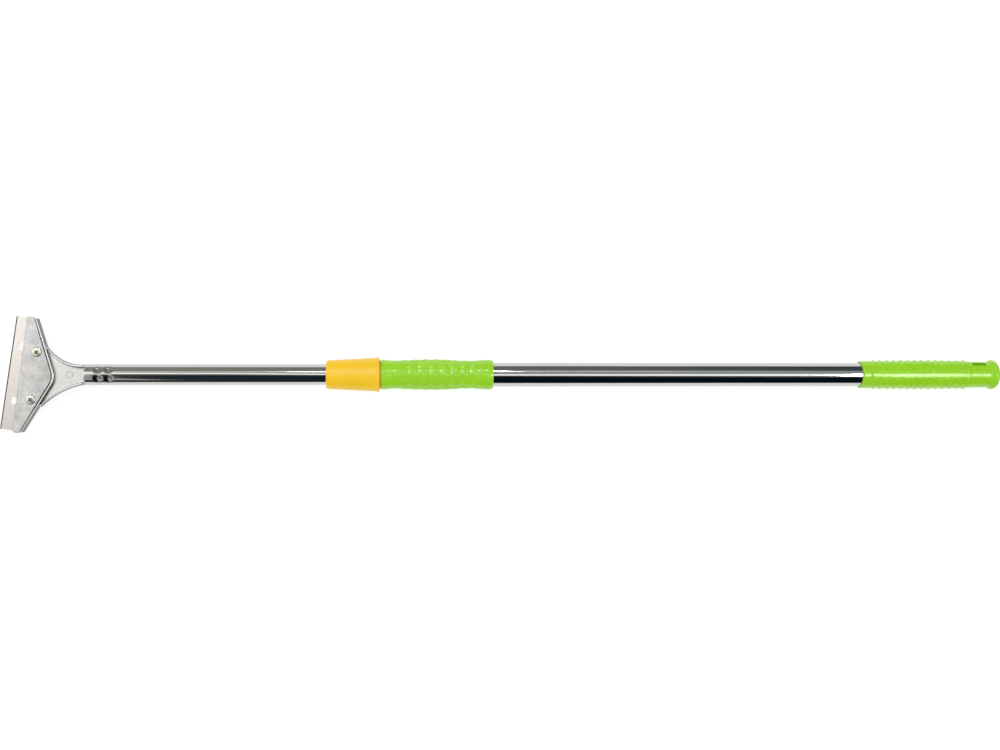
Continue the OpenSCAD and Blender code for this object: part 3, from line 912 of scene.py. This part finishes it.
def slot_cutter(first):
    """Prism that cuts the hanging slot: a rounded oblong of length by width, carried straight
    through the cap along the slot's direction."""
    long, wide, blunt_r, round_r = 13.7 * MM, 4.0 * MM, 1.2 * MM, 1.99 * MM
    centre = first + 3.4 * MM + long / 2
    outline = rounded([(-long / 2, -wide / 2, round_r), (long / 2, -wide / 2, blunt_r),
                       (long / 2, wide / 2, blunt_r), (-long / 2, wide / 2, round_r)], 6)
    turn = math.radians(55)
    through = np.array([0, math.sin(turn), math.cos(turn)])
    across = np.array([0, math.cos(turn), -math.sin(turn)])
    depth = np.array([-20 * MM, 20 * MM])[:, None, None]
    points = (np.array([centre, 0, AXIS_Z]) + outline[None, :, :1] * np.array([1, 0, 0])
              + outline[None, :, 1:] * across + depth * through)
    return make_tool("slot_tool", shell(points), bpy.data.materials["moulded_green_polypropylene"])


# ---- stage

def panel(name, corners, axis, stops, strength=1.0):
    """A glowing studio panel that shows only in reflections. Its colour runs evenly between stops
    (place along an axis, colour)."""
    mesh = bpy.data.meshes.new(name)
    mesh.from_pydata(corners, [], [list(range(len(corners)))])
    piece = bpy.data.objects.new(name, mesh)
    bpy.context.scene.collection.objects.link(piece)
    material = bpy.data.materials.new(name)
    material.use_nodes = True
    tree = material.node_tree
    tree.nodes.clear()
    coords = add(tree, "ShaderNodeTexCoord").outputs["Object"]
    place = add(tree, "ShaderNodeSeparateXYZ", {"Vector": coords}).outputs[axis]
    first, last = stops[0][0], stops[-1][0]
    part = add(tree, "ShaderNodeMapRange", {"Value": place, "From Min": first, "From Max": last})
    ramp = add(tree, "ShaderNodeValToRGB", {"Fac": part})
    ramp.color_ramp.elements[0].color = linear(stops[0][1])
    ramp.color_ramp.elements[1].color = linear(stops[-1][1])
    for at, code in stops[1:-1]:
        ramp.color_ramp.elements.new((at - first) / (last - first)).color = linear(code)
    glow = add(tree, "ShaderNodeEmission", {"Color": ramp, "Strength": strength})
    add(tree, "ShaderNodeOutputMaterial", {"Surface": glow})
    mesh.materials.append(material)
    piece.visible_camera = False
    piece.visible_diffuse = False
    piece.visible_shadow = False
    return piece


HIGH, LOW = 1.6, 0.02       # top and foot of the panelled walls
FAR, END = 3.0, 4.0         # where the walls stand, and how far the panels run along the pole
CARD_HIGH = 1.55


def level(x0, x1, y0, y1, z):
    """Corners of a level panel."""
    return [(x0, y0, z), (x1, y0, z), (x1, y1, z), (x0, y1, z)]


def wall(y):
    """Corners of a wall panel that runs along the pole."""
    return [(-END, y, HIGH), (END, y, HIGH), (END, y, LOW), (-END, y, LOW)]


def overhead(name, lines, stops, strength=1.0, height=HIGH):
    """Strips of the ceiling above the pole, between x stations. lines gives, at each station, the
    two angles from straight up (towards +Y) that bound the strip."""
    for (x0, low0, high0), (x1, low1, high1) in zip(lines, lines[1:]):
        corners = [(x, math.tan(math.radians(a)) * height, height)
                   for x, a in ((x0, low0), (x1, low1), (x1, high1), (x0, high0))]
        panel(name, corners, "X", stops, strength)


def lay_floor(scene, stage):
    """Pale matt floor, lit mostly by its own glow so that shadows on it stay faint."""
    size = 8.0
    mesh = bpy.data.meshes.new("floor")
    mesh.from_pydata(level(-size, size, -size, size, 0), [], [[0, 1, 2, 3]])
    floor = bpy.data.objects.new("floor", mesh)
    scene.collection.objects.link(floor)
    material, tree, shader, _ = new_material("pale_floor")
    feed(tree, shader, {"Base Color": [0.28 * c for c in stage.floor[:3]] + [1.0], "Roughness": 0.9,
                        "Specular IOR Level": 0.0, "Emission Color": stage.floor, "Emission Strength": 0.82})
    mesh.materials.append(material)


def light_studio(scene):
    """Even white surroundings and two wide soft lamps that stay out of reflections."""
    world = bpy.data.worlds.new("studio")
    scene.world = world
    world.use_nodes = True
    feed(world.node_tree, world.node_tree.nodes["Background"], {"Color": linear("FFFFFF"), "Strength": 0.5})
    for name, place, energy in (("key_light", (-0.25, 0.9, 1.9), 21), ("fill_light", (0.2, -1.2, 1.9), 12)):
        data = bpy.data.lights.new(name, "AREA")
        data.energy = energy
        data.size = 1.6
        lamp = bpy.data.objects.new(name, data)
        lamp.location = place
        lamp.rotation_euler = (-Vector(place)).to_track_quat("-Z", "Y").to_euler()
        lamp.visible_glossy = False
        scene.collection.objects.link(lamp)


def hang_panels():
    """Panels that the chrome and the cast metal reflect: bright strips above, a grey side, a dark
    side, a card over the head and a dark one beyond the blade."""
    main = [(-0.88, 8, 20), (-0.45, 6, 17), (0.0, -8, 3), (0.4, -10, 3), (0.98, -13, 7), (END, -13, 7)]
    tail = [(x, low - 12, low) for x, low, high in main]
    middle = [(x, high, 31) for x, low, high in main]
    overhead("main_strip", main, [(-1, "FFFFFF"), (1, "FFFFFF")], 1.6)
    overhead("strip_tail", tail, [(-0.9, "A6AAA7"), (-0.4, "7C8484"), (0, "4A5254"), (1, "8E887C")])
    overhead("strip_head", middle, [(-0.9, "D2D6D5"), (0, "B2B6B4"), (1, "A8AEB1")])
    overhead("thin_strip", [(-0.88, 31, 36), (END, 31, 36)],
             [(-0.9, "D2D2D2"), (0, "FFFFFF"), (0.5, "E8E8E8"), (1.0, "A0A0A0")], 1.3)
    overhead("rear_strip", [(0.9, -16, 5), (1.4, -16, 5)], [(0.92, "FFFFFF"), (1.25, "A0A0A0")], 22.0, 1.5)
    overhead("grip_strip", [(-0.3, 30, 34), (0.14, 30, 34)], [(-0.3, "808080"), (0.1, "FFFFFF")], 26.0, 1.5)
    side = [(-1.2, "A0A29C"), (0, "858B84"), (0.5, "6E7678"), (1.4, "485052")]
    panel("high_side", level(-END, END, math.tan(math.radians(36)) * HIGH, FAR, HIGH), "X", side)
    panel("high_wall", wall(FAR), "X", side)
    dark = [(-1.4, "47403A"), (-0.6, "28343C"), (0.2, "08161F"), (4, "04121B")]
    overhead("low_side", [(x, -62, low) for x, low, high in tail], dark)
    panel("low_wall", wall(-FAR), "X", dark)
    panel("head_card", level(-2.4, -0.79, -0.9, 0.9, CARD_HIGH), "Y",
          [(-0.5, "9C9A96"), (-0.12, "AFAFAF"), (-0.01, "D2D1CE"), (0.05, "FFFBF6"),
           (0.11, "DEDCD8"), (0.5, "F0F0F0")], 1.64)
    panel("edge_card", [(-3.2, -3, LOW), (-3.2, 3, LOW), (-3.2, 3, 1.3), (-3.2, -3, 1.3)], "Y",
          [(-3, "202020"), (3, "202020")])


def place_camera(scene, stage):
    """Camera above the pole, leaning back along it by the tilt."""
    camera = bpy.data.objects.new("camera", bpy.data.cameras.new("camera"))
    camera.data.lens = stage.lens
    camera.data.sensor_width = 36.0
    aim = Vector((JOINT_X + 370.8 * MM, -0.35 * MM, AXIS_Z))
    camera.location = aim + Vector((-math.sin(stage.tilt), 0, math.cos(stage.tilt))) * stage.distance
    camera.rotation_euler = (0, -stage.tilt, 0)
    scene.collection.objects.link(camera)
    scene.camera = camera


class SCRAPER_OT_stage(bpy.types.Operator):
    """Sets up the floor, the soft light, the reflected panels and the camera"""
    bl_idname = "scraper.stage"
    bl_label = "Studio"

    def execute(self, context):
        scene = context.scene
        scene.view_settings.view_transform = "Standard"
        lay_floor(scene, scene.scraper_stage)
        light_studio(scene)
        hang_panels()
        place_camera(scene, scene.scraper_stage)
        return {"FINISHED"}


class SCRAPER_PT_pieces(bpy.types.Panel):
    """Lists the makers of the pieces, in the order that they run"""
    bl_idname = "SCRAPER_PT_pieces"
    bl_label = "Blade scraper"
    bl_space_type = "VIEW_3D"
    bl_region_type = "UI"
    bl_category = "Scraper"

    def draw(self, context):
        for maker in MAKERS:
            self.layout.operator(maker.bl_idname)


MAKERS = [SCRAPER_OT_holder, SCRAPER_OT_plate, SCRAPER_OT_blade, SCRAPER_OT_screws, SCRAPER_OT_poles,
          SCRAPER_OT_lock, SCRAPER_OT_front_grip, SCRAPER_OT_rear_grip, SCRAPER_OT_stage]
SETTINGS = {"scraper_head": HeadSettings, "scraper_pole": PoleSettings, "scraper_lock": LockSettings,
            "scraper_grip": GripSettings, "scraper_stage": StageSettings}


def register():
    for cls in [*SETTINGS.values(), *MAKERS, SCRAPER_PT_pieces]:
        bpy.utils.register_class(cls)
    for name, cls in SETTINGS.items():
        setattr(bpy.types.Scene, name, bpy.props.PointerProperty(type=cls))


def unregister():
    for name in SETTINGS:
        delattr(bpy.types.Scene, name)
    for cls in [SCRAPER_PT_pieces, *MAKERS[::-1], *SETTINGS.values()]:
        bpy.utils.unregister_class(cls)


def main():
    register()
    for maker in MAKERS:
        group, call = maker.bl_idname.split(".")
        getattr(getattr(bpy.ops, group), call)()
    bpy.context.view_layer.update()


if __name__ == "__main__":
    main()
